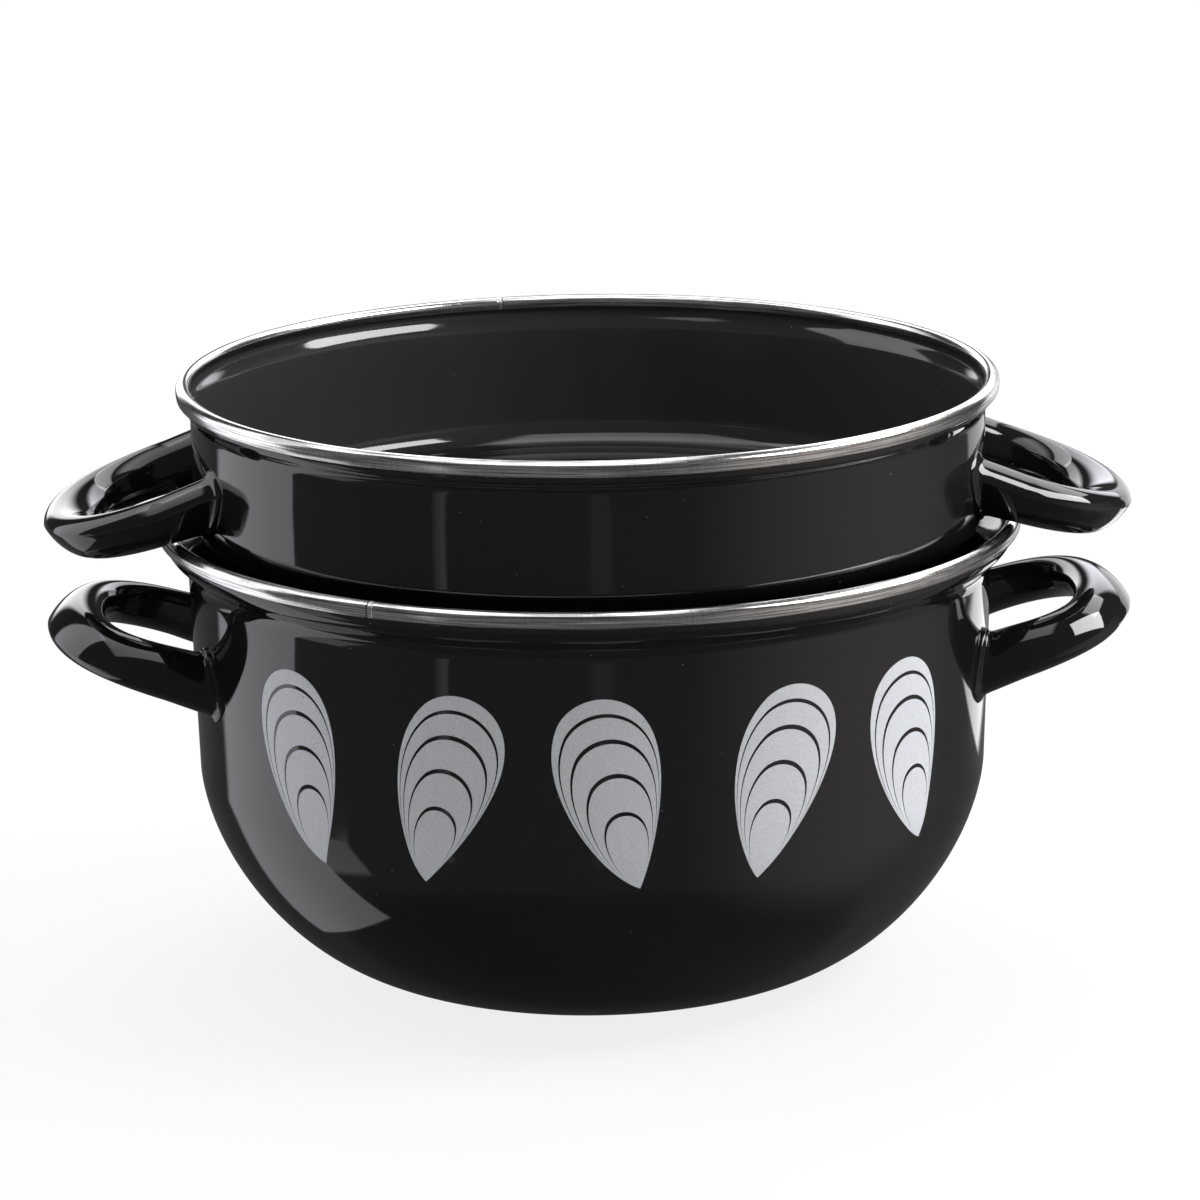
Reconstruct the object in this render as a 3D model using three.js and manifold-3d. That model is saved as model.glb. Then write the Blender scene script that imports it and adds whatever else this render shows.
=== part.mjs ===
// Mussel pot: an enamelled steel pot and a deep lid that, turned over, is the bowl for the empty shells.
// The lid is shown turned over on the pot, where it rests by the bars of its two handles on the pot's rim.
// Millimetres, +Z up, origin at the centre of the pot's base, handles to the left and right along X.
import * as THREE from 'three';
import { mergeVertices } from 'three/addons/utils/BufferGeometryUtils.js';
import Module from 'manifold-3d';

const wasm = await Module();
wasm.setup();

// Pot: a drawn shell with a slightly tapered wall, a full round bottom and a flared lip
const potHeight = 129; // base to the top of the rim band
const potShoulderRadius = 112.6; // outside of the wall, under the flare
const potFlareReach = 6.4; // outside of the wall to the middle of the rim band
const potFlareHeight = 11.5; // shoulder to lip
const potTaper = 1.7; // the wall draws in by this much down to where the bottom begins to round in
const potBellyHeight = 58.5; // base to the same place
const potBellyFullness = 1.67; // exponent of the round bottom's outline, 2 would be a quarter ellipse
const potFootRadius = 60; // outside of the flat ring that the pot stands on
const potFootWidth = 9;
const potBaseRecess = 0.8; // the middle of the base is pressed up by this much

// Lid, as it stands when turned over: a flat dish with an upright wall
const lidDepth = 46.2; // flat side to the top of its rim band
const lidRimPlay = 2.3; // between its rim band and the pot's, when the lid is on the right way up
const lidFlareReach = 1.9; // outside of the wall to the middle of the rim band
const lidFlareHeight = 6;
const lidCornerRadius = 9.5; // outside, between the wall and the flat side
const lidRise = 38.7; // top of the lid's band above the top of the pot's band

// Sheet, lips and rim bands, alike on the pot and the lid
const enamelSheet = 1.2;
const lipThickness = 2.2; // the cut edge is folded outward on itself
const lipHeight = 3.6;
const bandSheet = 0.6;
const bandOuterSkirt = 4.4; // top of the band to the edge of its outer side
const bandInnerSkirt = 3.4;
const bandSeamWidth = 0.3; // slit where the two ends of the strip meet
const potSeamTurn = 238; // degrees round from +X, at the front left
const lidSeamTurn = 100; // at the back

// Handles: one hollow pressed loop, welded to the pot twice and to the lid twice
const handleDrop = 30.4; // top of the pot's band to the handle's top at the wall
const handleRise = 8.5; // from the wall to the middle of the end
const handleRootHeight = 15.8; // height of the section at the wall
const handleTipHeight = 11.9; // height of the section at the middle of the end
const handleWidth = 10.4; // width of the section
const handleHeel = 4.7; // height of the section's round lower part
const handleLean = 4; // the section's lower part lies this much further out than its crown
const handleBarSpacing = 64; // between the centre lines of the two bars
const potFingerGap = 26.2; // wall to the inside of the crown at the end
const lidFingerGap = 27.2; // so that the lid's handles line up with the pot's
const handleBendLength = 24; // the rounded end, measured along X
const handleSheet = 1;
const handleFootDepth = 10; // the bars run this far past the wall before they are cut to it

// Fits and fineness
const seatGap = 0.3; // between pieces that touch or are welded
const roundSegments = 48;
const curveSteps = 6; // on each flare and each corner
const bellySteps = 9;
const lipSteps = 4; // over a lip and over a band
const bendSteps = 6; // on each half of a handle's end
const sectionSteps = 12; // round a handle's section

const flareBend = 0.52; // share of a flare's height at which it leans the most
const endFullness = 0.63; // of a handle's end seen from above, 0.55 would be a half ellipse

const enamel = new THREE.MeshStandardMaterial({ color: 0x161618, roughness: 0.12, metalness: 0 });
const steel = new THREE.MeshStandardMaterial({ color: 0xc6c7c8, roughness: 0.22, metalness: 1 });

const at = (radius, height) => new THREE.Vector2(radius, height);

// A closed geometry as a solid: shared points are merged and triangles that end in a point at the axis go
function toSolid(geometry) {
  geometry.deleteAttribute('normal');
  geometry.deleteAttribute('uv');
  const merged = mergeVertices(geometry);
  const corners = merged.index.array;
  const triangles = [];
  for (let i = 0; i < corners.length; i += 3) {
    const [a, b, c] = corners.slice(i, i + 3);
    if (a !== b && b !== c && c !== a) triangles.push(a, b, c);
  }
  const vertProperties = new Float32Array(merged.attributes.position.array);
  const triVerts = new Uint32Array(triangles);
  return new wasm.Manifold(new wasm.Mesh({ numProp: 3, vertProperties, triVerts }));
}

function toGeometry(solid) {
  const mesh = solid.getMesh();
  const geometry = new THREE.BufferGeometry();
  geometry.setAttribute('position', new THREE.BufferAttribute(mesh.vertProperties, 3));
  geometry.setIndex(new THREE.BufferAttribute(mesh.triVerts, 1));
  geometry.computeVertexNormals();
  return geometry;
}

// A profile of radius and height, revolved about Z
function revolve(profile) {
  return new THREE.LatheGeometry(profile, roundSegments).rotateX(Math.PI / 2);
}

// The profile moved sideways, outward where the distance is positive
function offset(profile, distance) {
  return profile.map((point, i) => {
    const before = profile[Math.max(i - 1, 0)];
    const after = profile[Math.min(i + 1, profile.length - 1)];
    const into = point.clone().sub(before).normalize();
    const out = after.clone().sub(point).normalize();
    if (into.lengthSq() === 0) into.copy(out);
    if (out.lengthSq() === 0) out.copy(into);
    const mitre = distance / (1 + into.dot(out));
    return at(point.x + (into.y + out.y) * mitre, point.y - (into.x + out.x) * mitre);
  });
}

// An arc of the profile about a centre, both its ends included
function arc(centre, radius, fromTurn, toTurn, steps) {
  return Array.from({ length: steps + 1 }, (_, i) => {
    const turn = THREE.MathUtils.degToRad(fromTurn + (toTurn - fromTurn) * i / steps);
    return at(centre.x + radius * Math.cos(turn), centre.y + radius * Math.sin(turn));
  });
}

// The S-shaped flare from a wall to the foot of its lip, leaving the wall in the wall's own direction
function flare(wallStart, wallEnd, height, lipRadius) {
  const bendHeight = height * flareBend;
  const along = wallEnd.clone().sub(wallStart);
  const leave = wallEnd.clone().addScaledVector(along, bendHeight / along.y);
  const arrive = at(lipRadius, wallEnd.y + bendHeight);
  const curve = new THREE.CubicBezierCurve(wallEnd, leave, arrive, at(lipRadius, wallEnd.y + height));
  return curve.getPoints(curveSteps);
}

// The shell behind an outer profile, with its lip: the edge is folded outward and rounded over
function shell(outer, mouthRadius, lipTop) {
  const half = lipThickness / 2;
  const foot = outer[outer.length - 1];
  const foldBottom = foot.y + mouthRadius + half - foot.x;
  const fold = [at(mouthRadius + half, foldBottom)];
  const over = arc(at(mouthRadius, lipTop - half), half, 0, 180, lipSteps);
  const inner = offset(outer, -enamelSheet).reverse();
  return revolve([...outer, ...fold, ...over, ...inner]);
}

// Outside radius of a shell at the foot of its lip, where its inside is flush with the folded edge
const lipFootRadius = (mouthRadius) => mouthRadius - lipThickness / 2 + enamelSheet;

// Radius of a band's round top
const bandRadius = lipThickness / 2 + seatGap + bandSheet;

// Outside of the pot's wall at its foot, middle of the pot's band, and the lid, whose band goes into the pot's
const potBellyRadius = potShoulderRadius - potTaper;
const potMouthRadius = potShoulderRadius + potFlareReach;
const lidMouthRadius = potMouthRadius - 2 * bandRadius - lidRimPlay;
const lidWallRadius = lidMouthRadius - lidFlareReach;

// The strip rolled over a lip: an upturned U all the way round, slit where its two ends meet
function rimBand(mouthRadius, top, seamTurn) {
  const centre = at(mouthRadius, top - bandRadius);
  const outside = arc(centre, bandRadius, 0, 180, lipSteps);
  const inside = arc(centre, bandRadius - bandSheet, 180, 0, lipSteps);
  const outerEdge = top - bandOuterSkirt;
  const innerEdge = top - bandInnerSkirt;
  const profile = [
    at(mouthRadius + bandRadius, outerEdge),
    ...outside,
    at(mouthRadius - bandRadius, innerEdge),
    at(mouthRadius - bandRadius + bandSheet, innerEdge),
    ...inside,
    at(mouthRadius + bandRadius - bandSheet, outerEdge),
  ];
  const ring = toSolid(revolve([...profile, profile[0]]));
  const slit = new THREE.BoxGeometry(3 * bandRadius, bandSeamWidth, 3 * bandOuterSkirt);
  slit.translate(mouthRadius, 0, top);
  slit.rotateZ(THREE.MathUtils.degToRad(seamTurn));
  return toGeometry(ring.subtract(toSolid(slit)));
}

// The pot's outer profile, from the middle of its base to the foot of its lip
const lipTop = (rimTop) => rimTop - bandSheet - seatGap;
const potLipFoot = lipTop(potHeight) - lipHeight;
function potOutline() {
  const innerFoot = potFootRadius - potFootWidth;
  const base = [at(0, potBaseRecess), at(innerFoot - potBaseRecess, potBaseRecess), at(innerFoot, 0)];
  const power = 2 / potBellyFullness;
  const belly = Array.from({ length: bellySteps + 1 }, (_, i) => {
    const turn = Math.PI / 2 * (1 - i / bellySteps);
    const reach = (potBellyRadius - potFootRadius) * Math.cos(turn) ** power;
    return at(potFootRadius + reach, potBellyHeight * (1 - Math.sin(turn) ** power));
  });
  const shoulder = at(potShoulderRadius, potLipFoot - potFlareHeight);
  const wallStart = belly[bellySteps];
  return [...base, ...belly, ...flare(wallStart, shoulder, potFlareHeight, lipFootRadius(potMouthRadius))];
}

// The lid's outer profile in its own frame, with its flat side at zero and its open side up
const lidLipFoot = lipTop(lidDepth) - lipHeight;
function lidOutline() {
  const corner = at(lidWallRadius - lidCornerRadius, lidCornerRadius);
  const round = arc(corner, lidCornerRadius, -90, 0, curveSteps);
  const wallEnd = at(lidWallRadius, lidLipFoot - lidFlareHeight);
  const wallStart = round[curveSteps];
  return [at(0, 0), ...round, ...flare(wallStart, wallEnd, lidFlareHeight, lipFootRadius(lidMouthRadius))];
}

// How far the middle of a handle's end lies from its wall, and how steeply its top rises to there
const handleLength = potFingerGap + handleWidth / 2;
const handleSlope = handleRise / handleLength;

// The centre line of a loop seen from above, round the end and back. The middle of the end is at zero.
function handlePath(barLength) {
  const half = handleBarSpacing / 2;
  const bend = -handleBendLength;
  const quarter = new THREE.CubicBezierCurve(
    at(bend, half),
    at(bend * (1 - endFullness), half),
    at(0, half * endFullness),
    at(0, 0),
  );
  const bar = [at(-barLength, half), at((bend - barLength) / 2, half)];
  const there = [...bar, ...quarter.getPoints(bendSteps)];
  const back = there.slice(0, -1).reverse().map((point) => at(point.x, -point.y));
  return [...there, ...back];
}

// The section at one place of the loop: a tall crown over a round heel that leans away from the fingers.
// The top at the middle of the end is at height zero. The inset is taken off all round.
function handleSection(point, outward, inset) {
  const share = -point.x / handleLength;
  const top = -handleRise * share - inset;
  const height = THREE.MathUtils.lerp(handleTipHeight, handleRootHeight, share) - 2 * inset;
  const heel = handleHeel - inset;
  const half = handleWidth / 2 - inset;
  const middle = top - height + heel;
  return Array.from({ length: sectionSteps }, (_, i) => {
    const turn = 2 * Math.PI * i / sectionSteps;
    const up = Math.sin(turn);
    const side = half * Math.cos(turn) + handleLean * (1 - Math.max(up, 0));
    const z = middle + up * (up > 0 ? height - heel : heel);
    return new THREE.Vector3(point.x + outward.x * side, point.y + outward.y * side, z);
  });
}

// A closed tube through rings of points, with a flat cap on each end
function loft(rings) {
  const count = rings[0].length;
  const points = rings.flat();
  const triangles = [];
  for (let ring = 0; ring < rings.length - 1; ring += 1) {
    for (let i = 0; i < count; i += 1) {
      const next = (i + 1) % count;
      const near = ring * count;
      const far = near + count;
      triangles.push(near + i, near + next, far + next, near + i, far + next, far + i);
    }
  }
  const last = (rings.length - 1) * count;
  for (let i = 1; i < count - 1; i += 1) {
    triangles.push(0, i + 1, i, last, last + i, last + i + 1);
  }
  const geometry = new THREE.BufferGeometry().setFromPoints(points);
  geometry.setIndex(triangles);
  return geometry;
}

// One loop, hollow and open at its two feet, with bars that reach well into the wall that they are cut to
function handleLoop(wallRadius, tipRadius) {
  const barEdge = handleBarSpacing / 2 + handleLean + handleWidth / 2;
  const wallAtBar = Math.sqrt(wallRadius ** 2 - barEdge ** 2);
  const path = handlePath(tipRadius - wallAtBar + handleFootDepth);
  const tube = (inset) => loft(path.map((point, i) => {
    const before = path[Math.max(i - 1, 0)];
    const after = path[Math.min(i + 1, path.length - 1)];
    const along = after.clone().sub(before).normalize();
    return handleSection(point, at(-along.y, along.x), inset);
  }));
  return toGeometry(toSolid(tube(0)).subtract(toSolid(tube(handleSheet))));
}

// A handle's feet are cut to the outside of the shell that it is welded to, all but the weld's gap
function cutFeet(loop, outer) {
  const grown = offset(outer, seatGap);
  const end = grown[grown.length - 1];
  const wall = toSolid(revolve([...grown, at(0, end.y)]));
  return toGeometry(toSolid(loop).subtract(wall));
}

const potProfile = potOutline();
const lidProfile = lidOutline();

// The pot's handles, set out from its wall at the height of their feet
const shoulderHeight = potLipFoot - potFlareHeight;
const footHeight = potHeight - handleDrop - handleRootHeight / 2;
const potWallRadius = THREE.MathUtils.mapLinear(
  footHeight, potBellyHeight, shoulderHeight, potBellyRadius, potShoulderRadius);
const potTipRadius = potWallRadius + handleLength;
const potLoop = handleLoop(potWallRadius, potTipRadius);
potLoop.translate(potTipRadius, 0, potHeight - handleDrop + handleRise);
const potHandle = cutFeet(potLoop, potProfile);

// The lid's handles are upside down, and their crowns rest where they cross the round top of the pot's band
const lidBase = potHeight + lidRise - lidDepth;
const lidTipRadius = lidWallRadius + lidFingerGap + handleWidth / 2;
const crossing = Math.sqrt(potMouthRadius ** 2 - (handleBarSpacing / 2) ** 2);
const seatHeight = potHeight - bandRadius + (bandRadius + seatGap) * Math.hypot(1, handleSlope);
const lidTipHeight = seatHeight - (lidTipRadius - crossing) * handleSlope;
const lidLoop = handleLoop(lidWallRadius, lidTipRadius).rotateX(Math.PI);
lidLoop.translate(lidTipRadius, 0, lidTipHeight - lidBase);
const lidHandle = cutFeet(lidLoop, lidProfile);

function piece(name, geometry, material, turn = 0) {
  const mesh = new THREE.Mesh(geometry, material);
  mesh.name = name;
  mesh.rotation.z = turn;
  return mesh;
}

const pot = new THREE.Group();
pot.add(
  piece('pot_body', toGeometry(toSolid(shell(potProfile, potMouthRadius, lipTop(potHeight)))), enamel),
  piece('pot_rim_band', rimBand(potMouthRadius, potHeight, potSeamTurn), steel),
  piece('pot_handle_right', potHandle, enamel),
  piece('pot_handle_left', potHandle, enamel, Math.PI),
);

const lid = new THREE.Group();
lid.position.z = lidBase;
lid.add(
  piece('lid_body', toGeometry(toSolid(shell(lidProfile, lidMouthRadius, lipTop(lidDepth)))), enamel),
  piece('lid_rim_band', rimBand(lidMouthRadius, lidDepth, lidSeamTurn), steel),
  piece('lid_handle_right', lidHandle, enamel),
  piece('lid_handle_left', lidHandle, enamel, Math.PI),
);

const musselPot = new THREE.Group();
musselPot.add(pot, lid);

export default musselPot;
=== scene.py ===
# %% [markdown]
# # A mussel pot with its shell bowl
# The pot is pressed from thin steel sheet and covered in black enamel. Its deep lid is turned over and
# stands on the rim, where it takes the empty shells. Every piece here but the print takes the place of one
# solid of the packed model, so the first step is to load that model.

# %% Load the packed model
import bpy
import math
import numpy as np
from mathutils import Matrix, Vector


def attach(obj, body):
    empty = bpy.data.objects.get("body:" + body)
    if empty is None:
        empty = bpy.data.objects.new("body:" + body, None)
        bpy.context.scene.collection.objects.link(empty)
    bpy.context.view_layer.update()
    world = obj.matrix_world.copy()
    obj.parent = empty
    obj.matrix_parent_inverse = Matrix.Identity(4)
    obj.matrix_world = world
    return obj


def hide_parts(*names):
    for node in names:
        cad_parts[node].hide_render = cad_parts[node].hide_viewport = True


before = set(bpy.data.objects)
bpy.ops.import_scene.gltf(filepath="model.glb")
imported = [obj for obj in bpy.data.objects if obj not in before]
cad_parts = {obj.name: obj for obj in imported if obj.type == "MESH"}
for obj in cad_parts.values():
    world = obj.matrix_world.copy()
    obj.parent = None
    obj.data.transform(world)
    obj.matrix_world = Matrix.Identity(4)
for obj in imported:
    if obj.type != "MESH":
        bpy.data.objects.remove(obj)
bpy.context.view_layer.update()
MM = 0.001

# %% [markdown]
# ## Writing node trees as formulas
# A finish is a small calculation: a mask times a colour, a noise added to a height. Wrapping a socket in a
# class with its own plus, minus and times lets each calculation be read as one. Every node that isn't
# plain arithmetic comes from the method `make`, for the finishes and for the modelling trees alike.

# %% A socket that can be used in a sum
class Signal:
    def __init__(self, socket):
        self.socket = socket
        self.tree = socket.id_data

    @classmethod
    def make(cls, tree, kind, settings=None, sockets=None, take=0):
        node = tree.nodes.new(kind)
        for name, value in (settings or {}).items():
            setattr(node, name, value)
        for name, value in (sockets or {}).items():
            for given in value if isinstance(value, list) else [value]:
                if isinstance(given, Signal):
                    tree.links.new(given.socket, node.inputs[name])
                else:
                    node.inputs[name].default_value = given
        return cls(node.outputs[take]) if len(node.outputs) else node

    def sibling(self, output):
        return Signal(self.socket.node.outputs[output])

    def calculate(self, operation, *others):
        values = dict(enumerate((self,) + others))
        return Signal.make(self.tree, "ShaderNodeMath", {"operation": operation}, values)

    def reversed_calculate(self, operation, other):
        return Signal.make(self.tree, "ShaderNodeMath", {"operation": operation}, {0: other, 1: self})

    def __add__(self, other):
        return self.calculate("ADD", other)

    def __radd__(self, other):
        return self.reversed_calculate("ADD", other)

    def __sub__(self, other):
        return self.calculate("SUBTRACT", other)

    def __rsub__(self, other):
        return self.reversed_calculate("SUBTRACT", other)

    def __mul__(self, other):
        return self.calculate("MULTIPLY", other)

    def __rmul__(self, other):
        return self.reversed_calculate("MULTIPLY", other)

    def __truediv__(self, other):
        return self.calculate("DIVIDE", other)

    def __rtruediv__(self, other):
        return self.reversed_calculate("DIVIDE", other)

    def __lt__(self, other):
        return self.calculate("LESS_THAN", other)

    def __gt__(self, other):
        return self.calculate("GREATER_THAN", other)

    def ramp(self, low, high):
        limits = {"Value": self, "From Min": low, "From Max": high}
        return Signal.make(self.tree, "ShaderNodeMapRange", {"interpolation_type": "SMOOTHSTEP"}, limits)


print("a signal can also:", [name for name in vars(Signal) if not name.startswith("__")])

# %% Helpers that every tree uses
def place_on(tree):
    return Signal.make(tree, "ShaderNodeTexCoord", take="Object")


def parts(tree, vector, axes):
    return [Signal.make(tree, "ShaderNodeSeparateXYZ", {}, {"Vector": vector}, axis) for axis in axes]


def joined(tree, **axes):
    return Signal.make(tree, "ShaderNodeCombineXYZ", {}, axes)


def noise(tree, place, scale, detail=2.0, roughness=0.5):
    values = {"Vector": place, "Scale": scale, "Detail": detail, "Roughness": roughness}
    return Signal.make(tree, "ShaderNodeTexNoise", {}, values, "Fac")


def blend_colour(tree, share, first, second):
    values = {0: share, 6: first, 7: second}
    return Signal.make(tree, "ShaderNodeMix", {"data_type": "RGBA"}, values, 2)


def grey(value):
    return (value, value, value, 1.0)


print("a grey is written as", grey(0.5))

# %% Helpers that every finish uses
def blank_finish(name):
    material = bpy.data.materials.new(name)
    material.use_nodes = True
    material.node_tree.nodes.clear()
    return material, material.node_tree


def bumped(tree, height):
    return Signal.make(tree, "ShaderNodeBump", {}, {"Strength": 1.0, "Distance": 1.0, "Height": height})


def finish_with(tree, sockets):
    surface = Signal.make(tree, "ShaderNodeBsdfPrincipled", {}, sockets)
    Signal.make(tree, "ShaderNodeOutputMaterial", {}, {"Surface": surface})


def tell_finish(material):
    print("finish:", material.name, len(material.node_tree.nodes), "nodes")


print("materials that came with the model:", len(bpy.data.materials))

# %% [markdown]
# ## Black enamel
# Enamel is glass melted on to steel. It is as smooth as a mirror, but not as flat: the melt leaves a faint
# skin like orange peel and shallow dimples, and the pressed sheet below adds long waves, so straight
# reflections waver. A few pinholes and specks of dust sit in it. The black is very dark, so nearly all
# that is seen is reflection. The steep inner walls are duller than the rest, and their black is painted a
# little lighter, as painted light for the light that reaches into the pot and the lid.

# %% Enamel: specks in a few cells of a random pattern
SPECK_SCALE, SPECK_CORE, SPECK_EDGE, SPECK_CUT = 210.0, 0.012, 0.045, 0.55


def enamel_specks(tree, place):
    cells = {"Vector": place, "Scale": SPECK_SCALE}
    distance = Signal.make(tree, "ShaderNodeTexVoronoi", {"feature": "F1"}, cells, "Distance")
    cell = Signal.make(tree, "ShaderNodeTexVoronoi", {"feature": "F1"}, cells, "Color")
    draw = Signal.make(tree, "ShaderNodeSeparateColor", {}, {"Color": cell}, "Red")
    return (1 - distance.ramp(SPECK_CORE, SPECK_EDGE)) * (draw > SPECK_CUT)


print("cells for specks are about", round(1000 / SPECK_SCALE, 1), "mm wide")

# %% Enamel: a near-black glass with a wavering skin
PEEL_SCALE, PEEL_DEPTH = 230.0, 5.0e-6
WAVE_SCALE, WAVE_DEPTH = 24.0, 6.4e-5
DIMPLE_SCALE, DIMPLE_DEPTH = 75.0, 1.1e-5
HAZE_SCALE, SPECK_DEPTH = 11.0, 2.0e-5
DEEP_BLACK, HAZY_BLACK = (0.0042, 0.0042, 0.0044, 1.0), (0.0062, 0.0061, 0.0062, 1.0)
# painted light: the inner black is lighter than the outer black, standing in for light on the steep inner
# walls
INNER_PAINTED_LIGHTER_BLACK = (0.036, 0.0354, 0.0356, 1.0)
SPECK_GREY = 0.30


def enamel_finish():
    material, tree = blank_finish("black_enamel")
    place = place_on(tree)
    peel = noise(tree, place, PEEL_SCALE, 2.0)
    wave = noise(tree, place, WAVE_SCALE, 1.0)
    dimple = noise(tree, place, DIMPLE_SCALE, 1.0)
    haze = noise(tree, place, HAZE_SCALE, 3.0)
    inside = Signal.make(tree, "ShaderNodeAttribute", {"attribute_name": "inside"}, {}, "Fac")
    speck = enamel_specks(tree, place)
    black = blend_colour(tree, haze, DEEP_BLACK, HAZY_BLACK)
    # painted light: the steep inner walls are blended towards the lighter inner black
    black = blend_colour(tree, inside, black, INNER_PAINTED_LIGHTER_BLACK)
    colour = blend_colour(tree, speck * 0.7, black, grey(SPECK_GREY))
    roughness = 0.035 + haze * 0.03 + inside * 0.05 + speck * 0.35
    height = peel * PEEL_DEPTH + wave * WAVE_DEPTH + dimple * DIMPLE_DEPTH + speck * SPECK_DEPTH
    skin = bumped(tree, height)
    finish_with(tree, {"Base Color": colour, "Roughness": roughness, "Normal": skin, "IOR": 1.5})
    return material


enamel = enamel_finish()
tell_finish(enamel)

# %% [markdown]
# ## Stainless strip
# The cut edge of each shell is covered by a narrow strip of stainless steel, rolled over it. Rolling
# leaves fine lines along the strip and a row of tiny crosswise ripples where the rollers bit. The lines
# are measured round the axis, by the angle about it, so that they follow the ring. Where the two ends of
# the strip meet they lap by a little over a millimetre, and that patch is duller.

# %% Steel: lines along the ring and ripples across it
LAP_LENGTH, LAP_EDGE = 0.0014, 0.00022
LINE_ALONG, LINE_ACROSS, LINE_OUT, LINE_DEPTH = 40.0, 3000.0, 900.0, 1.2e-5
RIPPLE_ALONG, RIPPLE_ACROSS, RIPPLE_DEPTH = 1500.0, 260.0, 1.1e-5
BLOTCH_SCALE, SEAM_DEPTH = 90.0, 6.0e-5
DARK_LINE, BRIGHT_LINE = (0.27, 0.26, 0.25, 1.0), (0.78, 0.78, 0.775, 1.0)
BLOTCH, SEAM_SHADE = (0.36, 0.34, 0.32, 1.0), (0.10, 0.095, 0.09, 1.0)


def steel_finish(name, ring_radius, seam_turn):
    material, tree = blank_finish(name)
    place = place_on(tree)
    x, y, z = parts(tree, place, "XYZ")
    seam = math.radians(seam_turn)
    ahead = x * math.cos(seam) + y * math.sin(seam)
    aside = y * math.cos(seam) - x * math.sin(seam)
    along = aside.calculate("ARCTAN2", ahead) * ring_radius
    reach = (x * x + y * y).calculate("SQRT")
    across = z + reach
    lines_at = joined(tree, X=along * LINE_ALONG, Y=across * LINE_ACROSS, Z=reach * LINE_OUT)
    ripples_at = joined(tree, X=along * RIPPLE_ALONG, Y=across * RIPPLE_ACROSS)
    lines = noise(tree, lines_at, 1.0, 3.0, 0.6)
    ripples = noise(tree, ripples_at, 1.0, 2.0, 0.6)
    blotches = noise(tree, place, BLOTCH_SCALE, 3.0)
    lap = (along.calculate("ABSOLUTE") < LAP_LENGTH) * (along > 0.0)
    edge = 1 - (along - LAP_LENGTH).calculate("ABSOLUTE").ramp(0.0, LAP_EDGE)
    streaks = (lines * 0.9 + ripples * 0.1).ramp(0.36, 0.62)
    colour = blend_colour(tree, streaks, DARK_LINE, BRIGHT_LINE)
    colour = blend_colour(tree, blotches.ramp(0.55, 0.75) * 0.35, colour, BLOTCH)
    colour = blend_colour(tree, edge * 0.85, colour, SEAM_SHADE)
    roughness = 0.09 + lines * 0.08 + ripples * 0.08 + lap * 0.16
    skin = bumped(tree, lines * LINE_DEPTH + ripples * RIPPLE_DEPTH - edge * SEAM_DEPTH)
    finish_with(tree, {"Base Color": colour, "Metallic": 1.0, "Roughness": roughness, "Normal": skin})
    return material


print("the strip laps by", LAP_LENGTH / MM, "mm")

# %% [markdown]
# ## Printed grey
# The decoration on the front is a silver grey print, fired on to the enamel. It is matt beside the enamel,
# with the fine speckle of a screen print and a few pinholes where the black shows.

# %% Print: a speckled silver grey
GRAIN_SCALE, GRAIN_DEPTH = 2600.0, 1.2e-5
CLOUD_SCALE, CLOUD_DEPTH = 60.0, 2.0e-5
PINHOLE_SCALE, THIN_SCALE = 520.0, 35.0
DARK_SILVER, BRIGHT_SILVER = (0.37, 0.385, 0.41, 1.0), (0.56, 0.575, 0.60, 1.0)
CLOUD_SILVER = (0.52, 0.53, 0.55, 1.0)


def print_finish():
    material, tree = blank_finish("silver_print")
    place = place_on(tree)
    grain = noise(tree, place, GRAIN_SCALE, 2.0, 0.7)
    cloud = noise(tree, place, CLOUD_SCALE, 3.0)
    cells = {"Vector": place, "Scale": PINHOLE_SCALE}
    pinhole = 1 - Signal.make(tree, "ShaderNodeTexVoronoi", {}, cells, "Distance").ramp(0.05, 0.16)
    thin = noise(tree, place, THIN_SCALE, 2.0).ramp(0.58, 0.70)
    silver = blend_colour(tree, grain.ramp(0.25, 0.75), DARK_SILVER, BRIGHT_SILVER)
    silver = blend_colour(tree, cloud * 0.4, silver, CLOUD_SILVER)
    colour = blend_colour(tree, pinhole * thin * 0.8, silver, grey(0.03))
    roughness = 0.42 + grain * 0.18
    skin = bumped(tree, grain * GRAIN_DEPTH + cloud * CLOUD_DEPTH)
    finish_with(tree, {"Base Color": colour, "Roughness": roughness, "Normal": skin})
    return material


silver = print_finish()
tell_finish(silver)

# %% [markdown]
# ## Turning a profile
# A pot that is spun or drawn is one outline turned about an axis. The outline is written once, in
# millimetres of radius and height, as a short list of rules: flat base, round bottom, straight wall,
# S-shaped flare, folded lip. The rim band's outer side is a chain of rounds, each given by a radius and
# the lean where it starts and ends. A Geometry Nodes tree then sweeps the outline round a circle. Doing it
# by a rule keeps both shells and both rim bands to the same few numbers as the solids.

# %% Sizes of the shells and the bands, in millimetres
SHEET, LIP, LIP_HEIGHT = 1.2, 2.2, 3.6
BAND, BAND_ROUND, BAND_ABOVE_LIP = 0.6, 2.0, 0.9
POT_HEIGHT, POT_MOUTH, POT_FLARE = 129.0, 119.0, 11.5
POT_SHOULDER, POT_BELLY, POT_BELLY_HEIGHT, POT_FOOT = 112.6, 110.9, 58.5, 60.0
LID_BASE, LID_DEPTH, LID_MOUTH, LID_FLARE = 121.5, 46.2, 112.7, 6.0
LID_WALL, LID_CORNER, LID_FLAT = 110.8, 9.5, 60.0
LID_TOP = LID_BASE + LID_DEPTH
POT_LIP_TOP = POT_HEIGHT - BAND_ABOVE_LIP
LID_LIP_TOP = LID_TOP - BAND_ABOVE_LIP
POT_SHOULDER_HEIGHT = POT_LIP_TOP - LIP_HEIGHT - POT_FLARE
LID_SHOULDER_HEIGHT = LID_LIP_TOP - LIP_HEIGHT - LID_FLARE
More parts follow.
